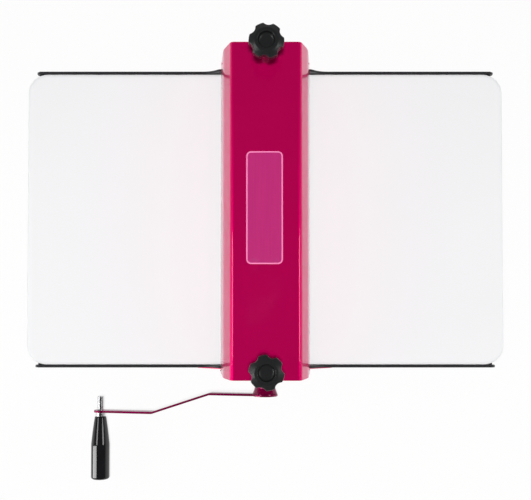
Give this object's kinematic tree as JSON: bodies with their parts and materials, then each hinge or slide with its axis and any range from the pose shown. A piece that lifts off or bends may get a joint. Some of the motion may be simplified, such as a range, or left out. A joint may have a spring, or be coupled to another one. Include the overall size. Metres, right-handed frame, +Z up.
{
  "type": "manual die cutting and creasing machine",
  "caption": "Bench press for die cutting and creasing: a flat plate runs between two rollers in a tall housing, moved by a side crank, with star knobs for the roller pressure.",
  "frame": {"origin": "on the bench, under the middle of the whole machine's box, with the crank at its parked angle", "axes": "+X along the cutting plate's travel, +Y along the rollers away from the crank, +Z up"},
  "size_m": [0.583, 0.527, 0.262],
  "materials": {
    "body_paint": "high gloss metallic magenta enamel",
    "crank_paint": "dark burgundy metallic enamel",
    "black_paint": "satin black powder coat",
    "badge": "glossy pink plate with a pale rim, bare",
    "white_plastic": "matt white",
    "black_plastic": "moulded black, semi gloss",
    "polished_plastic": "turned black, polished",
    "rubber": "matt black",
    "ground_steel": "ground",
    "zinc_steel": "zinc plated",
    "black_screws": "black oxide",
    "bearing_iron": "machined, dark",
    "bronze": "sintered bronze"
  },
  "bodies": {
    "frame": {"far_end_plate": "body_paint", "near_end_plate": "body_paint", "top_cover": "body_paint", "badge_plate": "badge", "base_pan": "black_paint", "right_skirt": "body_paint", "left_skirt": "body_paint", "skirt_screws": "zinc_steel", "lower_tie_bars": "ground_steel", "upper_tie_bars": "ground_steel", "right_table": "black_paint", "left_table": "black_paint", "far_pressure_bridge": "bearing_iron", "near_pressure_bridge": "bearing_iron", "far_lower_bearing": "bearing_iron", "near_lower_bearing": "bearing_iron", "far_lower_bush": "bronze", "near_lower_bush": "bronze", "far_block_guides": "bearing_iron", "near_block_guides": "bearing_iron", "rubber_feet": "rubber", "feet_screws": "zinc_steel", "feet_nuts": "zinc_steel", "tie_bar_screws": "black_screws", "bridge_screws": "black_screws", "bearing_screws": "black_screws", "guide_screws": "black_screws", "table_bolts": "black_screws", "table_nuts": "zinc_steel", "cover_screws": "black_screws", "cover_nuts": "zinc_steel", "thrust_washer": "zinc_steel"},
    "crank": {"lower_roller": "ground_steel", "retaining_ring": "zinc_steel", "crank_hub": "crank_paint", "hub_set_screw": "black_screws", "crank_arm": "crank_paint", "handle_stud": "ground_steel"},
    "handle": {"handle_grip": "polished_plastic"},
    "plate": {"cutting_plate": "white_plastic"},
    "upper_carriage": {"far_bearing_block": "bearing_iron", "near_bearing_block": "bearing_iron", "far_block_bush": "bronze", "near_block_bush": "bronze", "far_keeper": "zinc_steel", "near_keeper": "zinc_steel", "keeper_screws": "zinc_steel"},
    "idle_roller": {"upper_roller": "ground_steel"},
    "far_pressure": {"far_pressure_screw": "zinc_steel", "far_knob": "black_plastic"},
    "near_pressure": {"near_pressure_screw": "zinc_steel", "near_knob": "black_plastic"}
  },
  "joints": [
    {"name": "crank_turn", "type": "hinge", "parent": "frame", "child": "crank", "pos_m": [0, 0, 0.062], "axis": [0, 1, 0], "range_deg": [-540, 540]},
    {"name": "handle_spin", "type": "hinge", "parent": "crank", "child": "handle", "pos_m": [-0.21399, -0.1746, 0.0204], "axis": [0, 1, 0], "continuous": true},
    {"name": "plate_travel", "type": "slide", "parent": "frame", "child": "plate", "axis": [1, 0, 0], "range_m": [-0.24, 0.24]},
    {"name": "roller_lift", "type": "slide", "parent": "frame", "child": "upper_carriage", "axis": [0, 0, 1], "range_m": [0, 0.012]},
    {"name": "idle_roller_turn", "type": "hinge", "parent": "upper_carriage", "child": "idle_roller", "pos_m": [0, 0, 0.1232], "axis": [0, 1, 0], "range_deg": [-541, 541]},
    {"name": "far_knob_turn", "type": "hinge", "parent": "upper_carriage", "child": "far_pressure", "pos_m": [0, 0.24485, 0.2], "axis": [0, 0, 1], "range_deg": [-1, 3457]},
    {"name": "near_knob_turn", "type": "hinge", "parent": "upper_carriage", "child": "near_pressure", "pos_m": [0, -0.10505, 0.2], "axis": [0, 0, 1], "range_deg": [-1, 3457]}
  ],
  "couplings": [
    {"joint": "plate_travel", "follows": "crank_turn", "m_per_rad": 0.0254},
    {"joint": "idle_roller_turn", "follows": "crank_turn", "ratio": -1},
    {"joint": "far_knob_turn", "follows": "roller_lift", "rad_per_m": 5026.5},
    {"joint": "near_knob_turn", "follows": "roller_lift", "rad_per_m": 5026.5}
  ]
}
